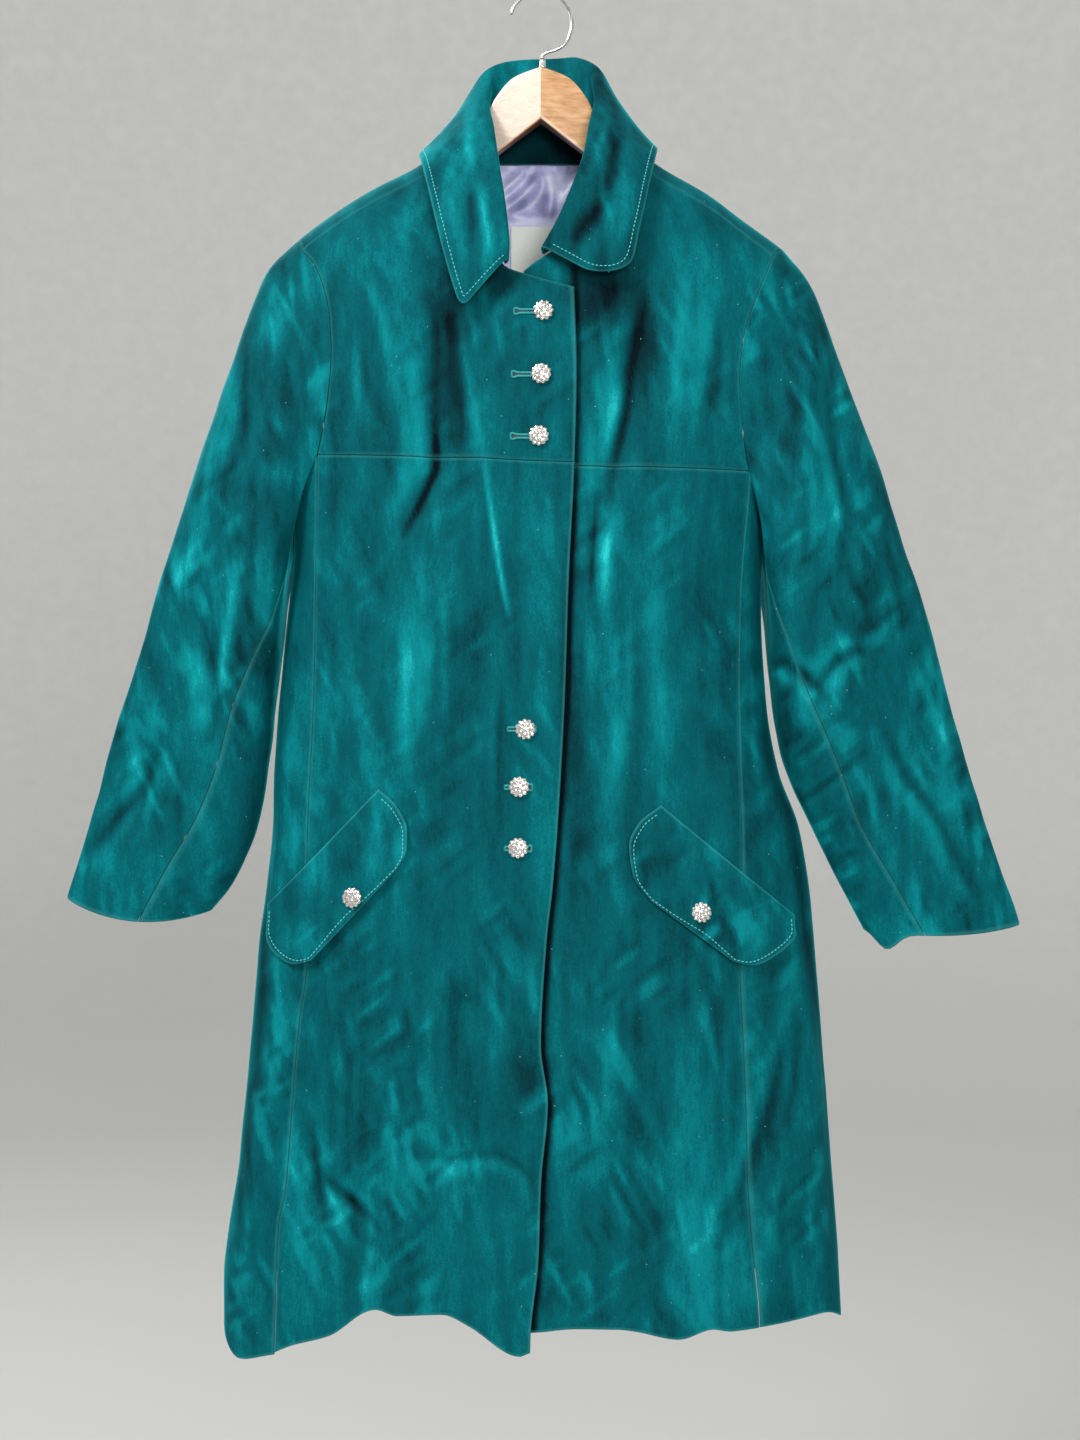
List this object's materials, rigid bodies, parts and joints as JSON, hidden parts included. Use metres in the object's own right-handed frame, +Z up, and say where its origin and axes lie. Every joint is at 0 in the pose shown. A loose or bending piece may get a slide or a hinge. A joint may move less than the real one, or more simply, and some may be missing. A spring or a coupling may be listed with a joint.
{
  "type": "dress coat on hanger",
  "caption": "A-line velvet dress coat, buttoned up with jewelled cluster buttons, with turned-down collar, slanted pocket flaps and a wooden hanger with a wire hook",
  "frame": {"origin": "inner top of the hook, where a rail or a hand holds it", "axes": "+Z up, the coat's front faces -Y, +X is to the right seen from the front"},
  "size_m": [0.86, 0.1496, 1.2183],
  "materials": {
    "velvet": "velvet pile",
    "satin": "satin",
    "label_cloth": "woven satin",
    "rhinestone": "cut stones in a metal setting",
    "wood": "varnished",
    "steel": "polished"
  },
  "bodies": {
    "root": {"yoke_right": "velvet", "yoke_left": "velvet", "front_right": "velvet", "front_left": "velvet", "side_right": "velvet", "side_left": "velvet", "back": "velvet", "sleeve_top_right": "velvet", "sleeve_top_left": "velvet", "sleeve_under_right": "velvet", "sleeve_under_left": "velvet", "collar": "velvet", "neck_facing": "velvet", "flap_right": "velvet", "flap_left": "velvet", "lining": "satin", "label": "label_cloth", "button_1": "rhinestone", "button_2": "rhinestone", "button_3": "rhinestone", "button_4": "rhinestone", "button_5": "rhinestone", "button_6": "rhinestone", "button_flap_right": "rhinestone", "button_flap_left": "rhinestone", "hanger_wood": "wood", "hanger_ferrule": "steel", "hanger_hook": "steel"}
  },
  "joints": []
}
